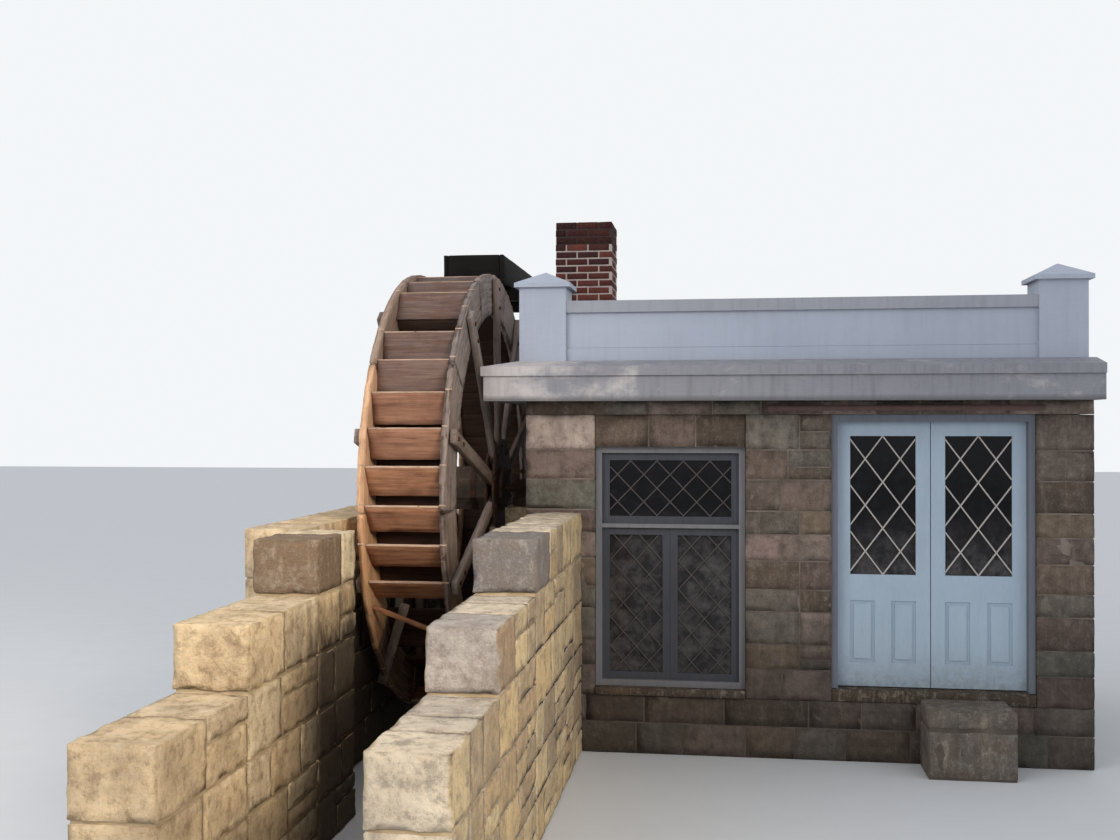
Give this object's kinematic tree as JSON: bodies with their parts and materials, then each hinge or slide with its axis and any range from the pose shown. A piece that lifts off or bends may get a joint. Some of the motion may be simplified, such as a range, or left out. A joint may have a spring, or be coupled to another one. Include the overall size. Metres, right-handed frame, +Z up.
{
  "type": "watermill",
  "caption": "Small stone mill house with flat cornice and parapet, glazed double door, side window, chimney, and an overshot timber water wheel between stepped stone walls.",
  "frame": {"origin": "centre of the bounding box in plan, at the level of the wall bottoms", "axes": "+X right along the front wall, +Y from the front into the house, +Z up"},
  "size_m": [5.86, 7.9, 4.48],
  "materials": {
    "sandstone": "rough coursed ashlar",
    "pale_stone": "rough weathered blocks",
    "flagstone": "worn flat",
    "brick": "red brick with pale mortar",
    "dark_timber": "wet dark boards",
    "roof_lead": "boards with a grey covering",
    "painted_board": "weathered grey-white paint",
    "door_casing_paint": "blue-grey paint",
    "door_paint": "pale blue-white paint",
    "window_frame_paint": "light grey paint",
    "window_sash_paint": "dark slate paint",
    "glass": "dark clear panes",
    "iron": "rusty iron",
    "wheel_timber": "weathered boards"
  },
  "bodies": {
    "mill": {"front_base_course": "sandstone", "front_piers": "sandstone", "window_lintel": "sandstone", "front_top_course": "sandstone", "sills": "sandstone", "left_wall": "sandstone", "rear_wall": "sandstone", "party_wall_right": "sandstone", "floor_slab": "flagstone", "door_step": "flagstone", "roof_joists": "dark_timber", "roof_deck": "roof_lead", "cornice_fascia": "painted_board", "cornice_crown": "painted_board", "parapet_panels": "painted_board", "parapet_rails": "painted_board", "parapet_posts": "painted_board", "parapet_caps": "painted_board", "chimney_stack": "brick", "chimney_cap": "brick", "door_frame": "door_casing_paint", "door_hinge_pins": "iron", "window_frame": "window_frame_paint", "window_sashes": "window_sash_paint", "window_glass": "glass", "tailrace_wall_right": "pale_stone", "tailrace_wall_left": "pale_stone", "wheel_pit_wall": "pale_stone", "bearing_pier_right": "pale_stone", "wheel_bearings": "dark_timber", "flume_trough": "dark_timber", "flume_bearers": "dark_timber", "flume_posts": "dark_timber"},
    "wheel": {"wheel_shaft": "wheel_timber", "wheel_gudgeons": "iron", "wheel_flanges": "iron", "wheel_arms": "wheel_timber", "wheel_rings": "wheel_timber", "wheel_sole": "wheel_timber", "wheel_start_boards": "wheel_timber", "wheel_front_boards": "wheel_timber"},
    "left_door": {"left_door_leaf": "door_paint", "left_door_glass": "glass"},
    "right_door": {"right_door_leaf": "door_paint", "right_door_glass": "glass"}
  },
  "joints": [
    {"name": "wheel_spin", "type": "hinge", "parent": "mill", "child": "wheel", "pos_m": [-2.06, 1.37, 2.01], "axis": [1, 0, 0], "continuous": true},
    {"name": "left_door_swing", "type": "hinge", "parent": "mill", "child": "left_door", "pos_m": [1.073, 0.724, 0.55], "axis": [0, 0, 1], "range_deg": [0, 90]},
    {"name": "right_door_swing", "type": "hinge", "parent": "mill", "child": "right_door", "pos_m": [2.477, 0.724, 0.55], "axis": [0, 0, 1], "range_deg": [-90, 0]}
  ]
}
